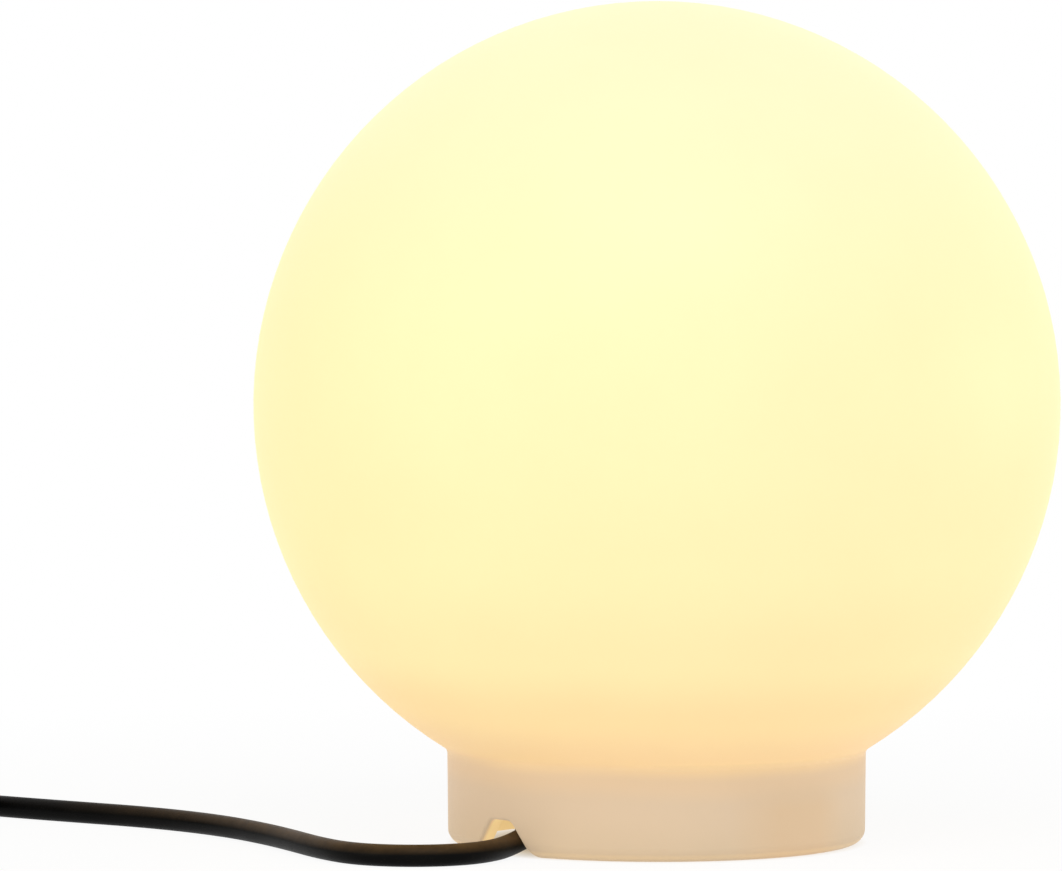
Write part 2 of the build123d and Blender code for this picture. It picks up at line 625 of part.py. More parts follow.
def plug_body(place):
    wide, thick = PLUG_SIZE
    body = extrude(RectangleRounded(wide, thick, 11), -PLUG_BODY_L)
    body = fillet(body.edges().group_by(Axis.Z)[-1], 2.0)
    waist = loft([Pos(0, 0, -PLUG_BODY_L) * RectangleRounded(wide, thick, 11),
                  Pos(0, 0, -PLUG_BODY_L - PLUG_WAIST_L) * RectangleRounded(15, 15, 7.2)], ruled=True)
    boot_top = -PLUG_BODY_L - PLUG_WAIST_L
    boot = turned([(0, boot_top), (6.6, boot_top), (4.7, boot_top - PLUG_BOOT_L), (0, boot_top - PLUG_BOOT_L)])
    whole = body + waist + boot
    for side in (-1, 1):
        whole -= Pos(side * PIN_SPACING / 2, 0, -8) * Cylinder(PIN_ROOT_R, 10, align=ON_BASE)
    return place * whole


def plug_pins(place):
    pin = turned([(0, -8), (PIN_ROOT_R, -8), (PIN_ROOT_R, 0), (PIN_R, 0), (PIN_R, PIN_LENGTH - 1.6),
                  (1.5, PIN_LENGTH), (0, PIN_LENGTH)])
    return Compound([(place * Pos(side * PIN_SPACING / 2, 0, 0) * pin).solid() for side in (-1, 1)])


def main():
    coil = coil_path()
    free = smooth_route(CORD_ROUTE, "free cord")
    plug = plug_places(coil)
    print(f"cord: free {free.length:.1f} + coil {coil.length:.1f} = {free.length + coil.length:.1f} mm")
    print(f"coil: least gap to itself {least_gap(coil, CORD_R):.2f} mm")
    print(f"pin face centre {tuple(plug.origin)}")
    nodes = {
        "globe_shell": globe_shell(), "base_tray": base_tray(), "neck_seal": neck_seal(),
        "globe_screws": globe_screws(), "bottom_cover": bottom_cover(), "cover_gasket": cover_gasket(),
        "cover_screws": cover_screws(), "rubber_feet": rubber_feet(),
        "gland_body": gland_body(), "gland_washer": gland_washer(), "gland_locknut": gland_locknut(),
        "gland_seal": gland_seal(), "gland_dome_nut": gland_dome_nut(), "cord_inner": cord_inner(),
        "cord_clamp": cord_clamp(), "clamp_screws": clamp_screws(),
        "terminal_block": terminal_block(), "terminal_inserts": terminal_inserts(),
        "terminal_screws": terminal_screws(),
        "wire_live_supply": supply_wire(1, "live supply"), "wire_neutral_supply": supply_wire(-1, "neutral supply"),
        "wire_live_lamp": lamp_wire(1, "live lamp"), "wire_neutral_lamp": lamp_wire(-1, "neutral lamp"),
        "lampholder_housing": lampholder_housing(), "lampholder_screws": lampholder_screws(),
        "lampholder_core": lampholder_core(), "threaded_sleeve": threaded_sleeve(),
        "centre_contact": centre_contact(), "holder_terminals": holder_terminals(), "bulb_seal": bulb_seal(),
        "bulb_dome": bulb_dome(), "bulb_housing": bulb_housing(), "led_board": led_board(),
        "led_chips": led_chips(), "driver_board": driver_board(), "cap_shell": cap_shell(),
        "cap_insulator": cap_insulator(), "cap_contact": cap_contact(),
        "cord_free": tube(free, CORD_R), "cord_coil": tube(coil, CORD_R), "coil_tie": coil_tie(),
        "plug_body": plug_body(plug), "plug_pins": plug_pins(plug),
    }
    os.makedirs("parts", exist_ok=True)
    for name, shape in nodes.items():
        export_step(shape, f"parts/{name}.step")


main()
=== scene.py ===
import json
from math import acos, copysign, cos, hypot, pi, radians, sin, tan

import bpy
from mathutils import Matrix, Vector


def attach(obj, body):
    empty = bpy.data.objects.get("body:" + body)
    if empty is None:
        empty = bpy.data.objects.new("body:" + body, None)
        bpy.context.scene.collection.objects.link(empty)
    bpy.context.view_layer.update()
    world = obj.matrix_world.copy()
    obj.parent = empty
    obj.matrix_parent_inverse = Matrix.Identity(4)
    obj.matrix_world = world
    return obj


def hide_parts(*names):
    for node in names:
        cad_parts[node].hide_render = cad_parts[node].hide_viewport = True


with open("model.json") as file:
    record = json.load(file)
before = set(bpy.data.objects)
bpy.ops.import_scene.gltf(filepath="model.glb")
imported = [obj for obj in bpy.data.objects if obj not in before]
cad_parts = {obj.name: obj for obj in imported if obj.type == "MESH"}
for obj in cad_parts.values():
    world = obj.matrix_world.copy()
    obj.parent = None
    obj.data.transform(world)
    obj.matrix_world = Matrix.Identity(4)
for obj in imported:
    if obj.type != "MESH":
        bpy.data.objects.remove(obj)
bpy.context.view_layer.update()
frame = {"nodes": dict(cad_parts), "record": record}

nodes = frame["nodes"]
MM = 0.001

# ---- Sizes that the construction sets, in millimetres ----
GLOBE_R, GLOBE_Z = 125.0, 136.0
GLAND_ANGLE, GLAND_TILT, GLAND_Z = 225.0, 10.0, 14.7
GLAND_WALL_D, GLAND_LENGTH = 15.0, 23.0
CORD_R, CORD_LEAD = 3.4, 10.0
THREAD_PITCH = 3.629
COIL_CENTRE = (-264.0, 54.0)
COIL_REACH, COIL_PITCH, COIL_EASE, COIL_LEAD = 42.0, 7.4, 1.05, 8.0
COIL_FLOOR_Z = CORD_R + 1.1
COIL_START_R = COIL_REACH - COIL_EASE
COIL_LAYERS, COIL_HALF_TURNS = 4, 3
PLUG_AXIS_Z = 13.0
BOOT_END, BOOT_START, WAIST_START = 78.0, 48.0, 28.0


# ---- Node helpers ----
def add(tree, kind, inputs=None, **settings):
    """A node with its settings, its inputs either linked or given a value."""
    node = tree.nodes.new(kind)
    for key, value in settings.items():
        setattr(node, key, value)
    for key, value in (inputs or {}).items():
        if isinstance(value, bpy.types.NodeSocket):
            tree.links.new(value, node.inputs[key])
        else:
            node.inputs[key].default_value = value
    return node


def maths(tree, operation, a, b=0.0, clamp=False):
    """One sum on two values, each a socket or a number."""
    return add(tree, "ShaderNodeMath", {0: a, 1: b}, operation=operation, use_clamp=clamp).outputs[0]


def spread(tree, value, low, high, to_low=0.0, to_high=1.0):
    """A value's range carried over to another range, clamped."""
    inputs = {"Value": value, "From Min": low, "From Max": high, "To Min": to_low, "To Max": to_high}
    return add(tree, "ShaderNodeMapRange", inputs).outputs["Result"]


def rise(tree, length, start, end):
    """Zero up to a length in millimetres, and one from another."""
    return spread(tree, length, start * MM, end * MM)


def fall(tree, length, start, end):
    """One up to a length in millimetres, and zero from another."""
    return spread(tree, length, start * MM, end * MM, 1.0, 0.0)


def blend_colour(tree, factor, a, b):
    """One colour up to another; the factor and the colours are linked or given as values."""
    node = add(tree, "ShaderNodeMix", data_type="RGBA")
    for index, value in ((0, factor), (6, a), (7, b)):
        if isinstance(value, bpy.types.NodeSocket):
            tree.links.new(value, node.inputs[index])
        else:
            node.inputs[index].default_value = value if index == 0 else (*value, 1.0)
    return node.outputs[2]


def noise(tree, place, scale, detail=3.0, roughness=0.55):
    """Soft noise between zero and one, so many times to the metre."""
    inputs = {"Vector": place, "Scale": scale, "Detail": detail, "Roughness": roughness}
    return add(tree, "ShaderNodeTexNoise", inputs).outputs["Fac"]


def start_material(name, stretch=(1.0, 1.0, 1.0)):
    """A new material, with its tree, its shader and a place on the object in metres."""
    material = bpy.data.materials.new(name)
    material.use_nodes = True
    tree = material.node_tree
    place = add(tree, "ShaderNodeTexCoord").outputs["Object"]
    if stretch != (1.0, 1.0, 1.0):
        place = add(tree, "ShaderNodeMapping", {"Vector": place, "Scale": stretch}).outputs["Vector"]
    return material, tree, tree.nodes["Principled BSDF"], place


def surface(name, dark, light, rough, grain=1500.0, depth=0.03, patch=40.0, metallic=0.0,
            stretch=(1.0, 1.0, 1.0), coat=0.0, specular=0.5, scuff=0.0):
    """A moulded, rubber or metal finish: uneven colour and gloss, fine grain, and scuffs if asked for."""
    material, tree, shader, place = start_material(name, stretch)
    patches = spread(tree, noise(tree, place, patch, 5.0), 0.3, 0.7)
    colour = blend_colour(tree, patches, dark, light)
    fine = noise(tree, place, grain, 4.0, 0.6)
    uneven = maths(tree, "ADD", maths(tree, "MULTIPLY", patches, 0.6), maths(tree, "MULTIPLY", fine, 0.4))
    gloss = spread(tree, uneven, 0.15, 0.75, *rough)
    if scuff > 0.0:
        cells = {"Vector": place, "Scale": patch * 3.0}
        marks = add(tree, "ShaderNodeTexVoronoi", cells, feature="DISTANCE_TO_EDGE")
        worn = spread(tree, marks.outputs["Distance"], 0.0, 0.035, scuff, 0.0)
        worn = maths(tree, "MULTIPLY", worn, spread(tree, noise(tree, place, patch * 0.7), 0.5, 0.65))
        colour = blend_colour(tree, worn, colour, tuple(min(1.0, c * 2.2 + 0.03) for c in light))
    tree.links.new(colour, shader.inputs["Base Color"])
    tree.links.new(gloss, shader.inputs["Roughness"])
    shader.inputs["Metallic"].default_value = metallic
    shader.inputs["Specular IOR Level"].default_value = specular
    shader.inputs["Coat Weight"].default_value = coat
    bump = add(tree, "ShaderNodeBump", {"Height": fine, "Strength": 0.6, "Distance": depth * MM})
    tree.links.new(bump.outputs["Normal"], shader.inputs["Normal"])
    return material


# ---- The lit globe ----
def ramp(tree, factor, stops):
    """A colour ramp through (position, colour) stops."""
    node = add(tree, "ShaderNodeValToRGB", {"Fac": factor})
    node.color_ramp.interpolation = "EASE"
    elements = node.color_ramp.elements
    elements.remove(elements[1])
    for index, (position, colour) in enumerate(stops):
        element = elements[0] if index == 0 else elements.new(position)
        element.position = position
        element.color = (*colour, 1.0)
    return node.outputs["Color"]


LAMP_H = GLOBE_Z + GLOBE_R
# height in millimetres, colour
GLOW_BY_HEIGHT = [
    (0.0, (0.24, 0.19, 0.135)),
    (18.0, (0.285, 0.22, 0.165)),
    (25.0, (0.34, 0.24, 0.155)),
    (31.5, (0.52, 0.35, 0.155)),
    (45.0, (0.58, 0.42, 0.17)),
    (64.0, (0.585, 0.51, 0.22)),
    (95.0, (0.585, 0.56, 0.25)),
    (150.0, (0.56, 0.575, 0.265)),
    (LAMP_H, (0.54, 0.58, 0.33)),
]
# painted shade on the right of the neck, mixed into the glow
NECK_SHADE_COLOUR = (0.28, 0.19, 0.115)
SHADE_BAND_LEFT, SHADE_BAND_RIGHT, SHADE_BAND_TOP = (22.0, 38.0), (50.0, 58.0), (15.0, 26.0)     # where its edges fade
INNER_GLOW = (0.66, 0.46, 0.20)
INNER_SKIN, INNER_TOP = (62.5, 64.3), (26.0, 30.0)
RIM_Z, RIM_INNER_R, RIM_SHARE = (0.8, 2.4), (60.0, 61.2), 0.1


def globe_material():
    """Opal plastic lit from within: pale yellow above, peach towards the base, unlit on the neck."""
    material, tree, shader, place = start_material("opal_globe")
    parts = add(tree, "ShaderNodeSeparateXYZ", {"Vector": place})
    across, height = parts.outputs["X"], parts.outputs["Z"]
    haze = noise(tree, place, 9.0, 2.0)
    level = maths(tree, "DIVIDE", height, LAMP_H * MM)
    level = maths(tree, "ADD", level, spread(tree, haze, 0.3, 0.7, -0.006, 0.006), clamp=True)
    glow = ramp(tree, level, [(z / LAMP_H, colour) for z, colour in GLOW_BY_HEIGHT])
    # painted shade: a darker, warmer upright band on the right of the neck
    shade_band = maths(tree, "MULTIPLY", rise(tree, across, *SHADE_BAND_LEFT), fall(tree, across, *SHADE_BAND_RIGHT))
    shade_band = maths(tree, "MULTIPLY", shade_band, fall(tree, height, *SHADE_BAND_TOP))
    glow = blend_colour(tree, shade_band, glow, NECK_SHADE_COLOUR)
    # inside the neck the wall is lit through, which shows in the notch; the rim's rounded edge is not
    flat = add(tree, "ShaderNodeCombineXYZ", {"X": across, "Y": parts.outputs["Y"]}).outputs[0]
    radius = add(tree, "ShaderNodeVectorMath", {0: flat}, operation="LENGTH").outputs["Value"]
    inside = maths(tree, "MULTIPLY", fall(tree, radius, *INNER_SKIN), fall(tree, height, *INNER_TOP))
    above_rim = spread(tree, height, RIM_Z[0] * MM, RIM_Z[1] * MM, RIM_SHARE, 1.0)
    off_rim = maths(tree, "MAXIMUM", above_rim, fall(tree, radius, *RIM_INNER_R))
    inside = maths(tree, "MULTIPLY", inside, off_rim)
    glow = blend_colour(tree, inside, glow, INNER_GLOW)
    skin = noise(tree, place, 700.0, 3.0)
    cloud = noise(tree, place, 22.0, 4.0)
    base = blend_colour(tree, spread(tree, cloud, 0.3, 0.7), (0.49, 0.395, 0.285), (0.51, 0.415, 0.30))
    tree.links.new(base, shader.inputs["Base Color"])
    tree.links.new(glow, shader.inputs["Emission Color"])
    shader.inputs["Emission Strength"].default_value = 1.0
    tree.links.new(spread(tree, skin, 0.2, 0.8, 0.48, 0.60), shader.inputs["Roughness"])
    shader.inputs["Specular IOR Level"].default_value = 0.25
    bump = add(tree, "ShaderNodeBump", {"Height": skin, "Strength": 0.35, "Distance": 0.03 * MM})
    tree.links.new(bump.outputs["Normal"], shader.inputs["Normal"])
    return material


def lit_material(name, base, glow, strength, patch=60.0):
    """A small part of the bulb that glows, a little unevenly."""
    material, tree, shader, place = start_material(name)
    cloud = spread(tree, noise(tree, place, patch, 3.0), 0.3, 0.7)
    dim_base, dim_glow = tuple(c * 0.94 for c in base), tuple(c * 0.9 for c in glow)
    tree.links.new(blend_colour(tree, cloud, base, dim_base), shader.inputs["Base Color"])
    tree.links.new(blend_colour(tree, cloud, glow, dim_glow), shader.inputs["Emission Color"])
    shader.inputs["Emission Strength"].default_value = strength
    tree.links.new(spread(tree, cloud, 0.0, 1.0, 0.42, 0.5), shader.inputs["Roughness"])
    return material


WEAVE_MM = 0.9            # from one thread of the strap to the next


def woven_material(name, dark, light):
    """A hook-and-loop strap: a fine plain weave with stray loops."""
    material, tree, shader, place = start_material(name)
    parts = add(tree, "ShaderNodeSeparateXYZ", {"Vector": place})
    across = maths(tree, "SINE", maths(tree, "MULTIPLY", parts.outputs["X"], 2 * pi / (WEAVE_MM * MM)))
    along_place = maths(tree, "ADD", parts.outputs["Y"], parts.outputs["Z"])
    along = maths(tree, "SINE", maths(tree, "MULTIPLY", along_place, 2 * pi / (WEAVE_MM * MM)))
    weave = maths(tree, "MULTIPLY", across, along)
    loops = noise(tree, place, 2600.0, 3.0)
    height = maths(tree, "ADD", maths(tree, "MULTIPLY", weave, 0.5), loops)
    colour = blend_colour(tree, spread(tree, height, 0.1, 1.0), dark, light)
    tree.links.new(colour, shader.inputs["Base Color"])
    tree.links.new(spread(tree, loops, 0.3, 0.7, 0.75, 0.95), shader.inputs["Roughness"])
    shader.inputs["Sheen Weight"].default_value = 0.35
    shader.inputs["Sheen Roughness"].default_value = 0.5
    bump = add(tree, "ShaderNodeBump", {"Height": height, "Strength": 0.8, "Distance": 0.12 * MM})
    tree.links.new(bump.outputs["Normal"], shader.inputs["Normal"])
    return material


def board_material():
    """A green circuit board with paler tracks."""
    material, tree, shader, place = start_material("circuit_board")
    cells = add(tree, "ShaderNodeTexVoronoi", {"Vector": place, "Scale": 260.0}, feature="DISTANCE_TO_EDGE",
                distance="MANHATTAN").outputs["Distance"]
    tracks = spread(tree, cells, 0.03, 0.06, 1.0, 0.0)
    colour = blend_colour(tree, tracks, (0.012, 0.08, 0.03), (0.05, 0.19, 0.07))
    tree.links.new(colour, shader.inputs["Base Color"])
    tree.links.new(spread(tree, noise(tree, place, 500.0), 0.3, 0.7, 0.28, 0.42), shader.inputs["Roughness"])
    bump = add(tree, "ShaderNodeBump", {"Height": tracks, "Strength": 0.6, "Distance": 0.05 * MM})
    tree.links.new(bump.outputs["Normal"], shader.inputs["Normal"])
    return material


# painted reflection of the lit globe: a warm tint on the cord's upper side near the lamp
PAINTED_GLOW_REFLECTION = (0.09, 0.055, 0.025)
REFLECTION_Z, REFLECTION_NEAR, REFLECTION_FAR_SHARE = (3.8, 6.2), (100.0, 200.0), 0.04     # heights, distances, share past them


def flex_material():
    """Black rubber, with a painted warm reflection of the lit globe on the upper side that is strongest close
    to the lamp.
    """
    material = surface("cord_rubber", (0.0025, 0.0025, 0.0026), (0.0045, 0.0045, 0.0045), (0.34, 0.46),
                       1400, 0.05, patch=55.0, specular=0.04)
    tree = material.node_tree
    shader = tree.nodes["Principled BSDF"]
    rubber = shader.inputs["Base Color"].links[0].from_socket
    place = add(tree, "ShaderNodeTexCoord").outputs["Object"]
    parts = add(tree, "ShaderNodeSeparateXYZ", {"Vector": place})
    distance = add(tree, "ShaderNodeVectorMath", {0: place}, operation="LENGTH").outputs["Value"]
    near = spread(tree, distance, REFLECTION_NEAR[0] * MM, REFLECTION_NEAR[1] * MM, 1.0, REFLECTION_FAR_SHARE)
    # painted reflection: warm on the upper side, fading with distance from the lamp
    painted_reflection = maths(tree, "MULTIPLY", rise(tree, parts.outputs["Z"], *REFLECTION_Z), near)
    painted_reflection = maths(tree, "MULTIPLY", painted_reflection, spread(tree, noise(tree, place, 160.0, 4.0), 0.3, 0.7, 0.6, 1.0))
    tree.links.new(blend_colour(tree, painted_reflection, rubber, PAINTED_GLOW_REFLECTION), shader.inputs["Base Color"])
    return material


BRUSHED = (1.0, 1.0, 6.0)
materials = {
    "globe": globe_material(),
    "base_plastic": surface("black_plastic", (0.010, 0.010, 0.010), (0.018, 0.018, 0.017), (0.42, 0.6),
                            1800, 0.05, scuff=0.12),
    "cover_plastic": surface("spark_black", (0.009, 0.009, 0.009), (0.016, 0.016, 0.016), (0.5, 0.68),
                             2600, 0.08, scuff=0.18),
    "gland_plastic": surface("gland_black", (0.008, 0.008, 0.008), (0.014, 0.014, 0.014), (0.3, 0.45),
                             1600, 0.03),
    "clamp_plastic": surface("clamp_grey", (0.014, 0.014, 0.015), (0.022, 0.022, 0.023), (0.4, 0.55),
                             1600, 0.04),
    "seal_rubber": surface("seal_rubber", (0.006, 0.006, 0.006), (0.012, 0.012, 0.012), (0.65, 0.85),
                           2200, 0.06),
    "foot_rubber": surface("foot_rubber", (0.007, 0.007, 0.007), (0.016, 0.015, 0.014), (0.7, 0.9),
                           1500, 0.08, scuff=0.3),
    "cord_rubber": flex_material(),
    "plug_rubber": surface("plug_rubber", (0.007, 0.007, 0.007), (0.012, 0.012, 0.012), (0.5, 0.66),
                           2400, 0.06, scuff=0.08),
    "screw_steel": surface("zinc_steel", (0.42, 0.42, 0.40), (0.56, 0.56, 0.55), (0.28, 0.42),
                           1800, 0.02, patch=300.0, metallic=1.0, stretch=BRUSHED),
    "brass_part": surface("turned_brass", (0.50, 0.32, 0.10), (0.66, 0.45, 0.17), (0.24, 0.38),
                          2400, 0.02, patch=250.0, metallic=1.0),
    "spring_brass": surface("rolled_brass", (0.52, 0.36, 0.13), (0.68, 0.49, 0.20), (0.22, 0.32),
                            2000, 0.02, patch=250.0, metallic=1.0),
    "block_plastic": surface("block_white", (0.74, 0.72, 0.66), (0.80, 0.78, 0.72), (0.35, 0.5), 1500, 0.03),
    "wire_brown": surface("wire_brown", (0.060, 0.020, 0.008), (0.085, 0.030, 0.012), (0.3, 0.42),
                          2500, 0.02),
    "wire_blue": surface("wire_blue", (0.010, 0.050, 0.22), (0.015, 0.070, 0.30), (0.3, 0.42), 2500, 0.02),
    "holder_plastic": surface("holder_black", (0.008, 0.008, 0.008), (0.014, 0.014, 0.013), (0.3, 0.48),
                              1500, 0.04, scuff=0.06),
    "holder_core": surface("glazed_core", (0.68, 0.64, 0.54), (0.76, 0.72, 0.62), (0.16, 0.3),
                           1200, 0.03, coat=0.4),
    "sleeve_metal": surface("sleeve_brass", (0.54, 0.38, 0.15), (0.68, 0.50, 0.22), (0.25, 0.38),
                            1800, 0.02, patch=220.0, metallic=1.0),
    "bulb_diffuser": lit_material("bulb_diffuser", (0.52, 0.50, 0.44), (0.50, 0.46, 0.30), 1.0),
    "bulb_plastic": surface("bulb_white", (0.70, 0.69, 0.65), (0.76, 0.75, 0.72), (0.22, 0.32),
                            900, 0.02, coat=0.2),
    "led_board": surface("led_board_white", (0.72, 0.72, 0.70), (0.80, 0.80, 0.78), (0.3, 0.42), 900, 0.02),
    "led_chip": lit_material("led_phosphor", (0.60, 0.42, 0.08), (0.40, 0.34, 0.12), 1.0, 900.0),
    "driver_board": board_material(),
    "cap_metal": surface("cap_nickel", (0.55, 0.55, 0.53), (0.68, 0.68, 0.66), (0.2, 0.34),
                         1800, 0.02, patch=220.0, metallic=1.0),
    "cap_glass": surface("dark_glass", (0.006, 0.006, 0.008), (0.012, 0.012, 0.014), (0.08, 0.16), 700, 0.02),
    "cap_solder": surface("solder", (0.40, 0.39, 0.37), (0.56, 0.55, 0.52), (0.34, 0.5),
                          1300, 0.05, patch=400.0, metallic=1.0),
    "tie_fabric": woven_material("strap_weave", (0.006, 0.006, 0.007), (0.026, 0.026, 0.028)),
    "pin_nickel": surface("pin_nickel", (0.60, 0.58, 0.53), (0.72, 0.70, 0.65), (0.16, 0.26),
                          1600, 0.015, patch=260.0, metallic=1.0, stretch=(1.0, 6.0, 1.0)),
}

for part in frame["record"]["subparts"]:
    for material_slot in nodes[part["node"]].material_slots:
        material_slot.material = materials[part["material_slot"]]


# ---- Mesh helpers ----
def mesh_object(name, points, faces, material, body):
    """A piece made of points in millimetres, riding on a body."""
    mesh = bpy.data.meshes.new(name)
    mesh.from_pydata([Vector(p) * MM for p in points], [], faces)
    mesh.validate()
    mesh.polygons.foreach_set("use_smooth", [True] * len(mesh.polygons))
    mesh.materials.append(material)
    piece = bpy.data.objects.new(name, mesh)
    bpy.context.scene.collection.objects.link(piece)
    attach(piece, body)
    return piece


def skin_faces(rows, around, closed=False):
    """Quads between rows of points that each go once round; closed joins the last row to the first."""
    faces = []
    for row in range(rows if closed else rows - 1):
        here, after = row * around, (row + 1) % rows * around
        for step in range(around):
            turn = (step + 1) % around
            faces.append((here + step, here + turn, after + turn, after + step))
    return faces


# ---- Screw-threaded sleeves: the lamp cap and the holder's sleeve ----
def threaded_shell(name, profile, wall, swing, thread, material, body, replaced):
    """A thin rolled sleeve through (radius, z) points, with a real right-hand thread between two heights."""
    around, fade = 96, 2.2
    rows = []
    for radius, z in profile:
        near = min(z - thread[0], thread[1] - z)
        depth = swing * max(0.0, min(1.0, near / fade))
        phases = [z / THREAD_PITCH - step / around for step in range(around)]
        rows.append([radius + depth * sin(2 * pi * phase) for phase in phases])
    heights = [z for _, z in profile]
    points = []
    for offset, order in ((0.0, range(len(rows))), (-wall, reversed(range(len(rows))))):
        for index in order:
            for step, radius in enumerate(rows[index]):
                turn = 2 * pi * step / around
                r = radius + offset
                points.append((r * cos(turn), r * sin(turn), heights[index]))
    piece = mesh_object(name, points, skin_faces(2 * len(rows), around, closed=True), material, body)
    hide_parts(replaced)
    return piece


def even_steps(start, end, count):
    """Evenly spaced values from start to end, with both ends."""
    return [start + (end - start) * i / count for i in range(count + 1)]


ROLLED_WALL = 0.45
CAP_FOOT_R, CAP_FOOT_Z, CAP_SHOULDER_H = 9.9, 63.4, 2.6
CAP_BAND_R, CAP_BAND_Z, CAP_TOP_Z = 12.8, 66.3, 86.0
CAP_THREAD, CAP_SWING = (66.0, 84.4), 0.4
SLEEVE_R, SLEEVE_Z = 14.4, (60.0, 83.0)
SLEEVE_THREAD, SLEEVE_SWING = (60.2, 82.0), 0.3

cap_profile = [(CAP_FOOT_R + (CAP_BAND_R - CAP_FOOT_R) * t, CAP_FOOT_Z + CAP_SHOULDER_H * t)
               for t in even_steps(0.0, 1.0, 5)]
cap_profile += [(CAP_BAND_R, z) for z in even_steps(CAP_BAND_Z, CAP_TOP_Z, 66)]
threaded_shell("lamp_cap", cap_profile, ROLLED_WALL, CAP_SWING, CAP_THREAD, materials["cap_metal"],
               "bulb", "cap_shell")
sleeve_profile = [(SLEEVE_R, z) for z in even_steps(*SLEEVE_Z, 76)]
threaded_shell("holder_sleeve", sleeve_profile, ROLLED_WALL, SLEEVE_SWING, SLEEVE_THREAD,
               materials["sleeve_metal"], "base", "threaded_sleeve")

# ---- The flex: free run, coil and the way to the plug ----
def along_gland(run):
    """The point at a distance from the gland's wall, on its axis."""
    out = GLAND_WALL_D + run * cos(radians(GLAND_TILT))
    turn = radians(GLAND_ANGLE)
    return (out * cos(turn), out * sin(turn), GLAND_Z - run * sin(radians(GLAND_TILT)))


mouth = along_gland(GLAND_LENGTH)
COIL_IN = (COIL_CENTRE[0] + COIL_LEAD, COIL_CENTRE[1] + COIL_START_R)
route = [
    mouth,
    along_gland(GLAND_LENGTH + CORD_LEAD),
    (-44.3, -45.6, CORD_R),
    (-52.2, -66.4, CORD_R),
    (-64.2, -75.7, CORD_R),
    (-79.3, -77.0, CORD_R),
    (-93.0, -70.0, CORD_R),
    (-103.2, -52.7, CORD_R),
    (-111.2, -33.0, CORD_R),
    (-121.3, -10.5, CORD_R),
    (-136.0, 14.5, CORD_R),
    (-158.0, 38.5, CORD_R),
    (-186.0, 58.0, CORD_R),
    (-208.0, 74.0, CORD_R),
    (-225.0, 87.5, CORD_R),
    (-240.0, COIL_IN[1], COIL_FLOOR_Z),
    (*COIL_IN, COIL_FLOOR_Z),
]

POINTS_PER_HALF = 8
PULL_OUT = 1.0 / 0.981    # the spline runs this much inside points that stand on a circle


def coil_place(u, v, z):
    """The point at u to the back of the coil's centre and v to its left, at a height."""
    return (COIL_CENTRE[0] - v, COIL_CENTRE[1] + u, z)


def half_turn(reach, after, side, z0, z1, count=POINTS_PER_HALF):
    """Control points of half a turn, level or climbing, as far as count goes."""
    radius, middle = (reach + after) / 2, side * (reach - after) / 2
    lean = hypot(radius, (z1 - z0) / 2)
    points = []
    for step in range(count):
        a = pi * (step + 0.5) / POINTS_PER_HALF
        points.append(coil_place(middle + side * radius * PULL_OUT * cos(a), side * lean * PULL_OUT * sin(a),
                                 (z0 + z1) / 2 - (z1 - z0) / 2 * cos(a)))
    return points


def coil_points():
    """Four layers of turns, in and out by turns, and the last quarter turn."""
    z, reach, side, shorter = COIL_FLOOR_Z, COIL_START_R, 1, True
    points = []
    for layer in range(COIL_LAYERS):
        top = layer == COIL_LAYERS - 1
        for turn in range(COIL_HALF_TURNS - 1 if top else COIL_HALF_TURNS):
            first, last = turn == 0 and layer > 0, turn == COIL_HALF_TURNS - 1
            step = COIL_PITCH / 2 + COIL_EASE * (first + last)
            after = reach - step if shorter else reach + step
            points += half_turn(reach, after, side, z, z)
            reach, side = after, -side
        if not top:
            points += half_turn(reach, reach, side, z, z + COIL_PITCH)
            z, side, shorter = z + COIL_PITCH, -side, not shorter
    after = reach + COIL_PITCH / 2
    points += half_turn(reach, after, side, z, z, POINTS_PER_HALF // 2)
    return points, coil_place(side * (reach - after) / 2, side * (reach + after) / 2, z)


coil, coil_out = coil_points()
DOWN_BEND_R, CLEAR_RUN, MIDDLE_RUN, LAST_RUN, IN_BOOT = 30.0, 22.0, 12.0, 8.0, 6.0
bend_turn = acos(1 - (coil_out[2] - PLUG_AXIS_Z) / (2 * DOWN_BEND_R))
corner = DOWN_BEND_R * tan(bend_turn / 2)
bend_y = coil_out[1] - CLEAR_RUN
boot_end_y = bend_y - 2 * DOWN_BEND_R * sin(bend_turn) - LAST_RUN
way_down = [
    coil_out,
    (coil_out[0], coil_out[1] - MIDDLE_RUN, coil_out[2]),
    (coil_out[0], bend_y - corner, coil_out[2]),
    (coil_out[0], boot_end_y + LAST_RUN + corner, PLUG_AXIS_Z),
    (coil_out[0], boot_end_y, PLUG_AXIS_Z),
    (coil_out[0], boot_end_y - IN_BOOT, PLUG_AXIS_Z),
]


def cord_curve(points):
    """One smooth round cord through its control points."""
    curve = bpy.data.curves.new("flex", "CURVE")
    curve.dimensions = "3D"
    spline = curve.splines.new("NURBS")
    spline.points.add(len(points) - 1)
    for target, point in zip(spline.points, points):
        target.co = (*(Vector(point) * MM), 1.0)
    spline.order_u = 3
    spline.use_endpoint_u = True
    spline.resolution_u = 6
    curve.bevel_depth = CORD_R * MM
    curve.bevel_resolution = 10
    curve.use_fill_caps = True
    curve.materials.append(materials["cord_rubber"])
    piece = bpy.data.objects.new("flex", curve)
    bpy.context.scene.collection.objects.link(piece)
    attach(piece, "base")
    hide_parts("cord_free", "cord_coil")
    return piece


flex = cord_curve(route + coil + way_down)

# ---- Plug: body, ribbed waist and ringed strain relief ----
PIN_FACE_Y = boot_end_y - BOOT_END


def half_waves(along, pitch, start, end):
    """The upper halves of a wave along a length, between two places on it."""
    return max(0.0, sin(2 * pi * along / pitch)) if start < along < end else 0.0


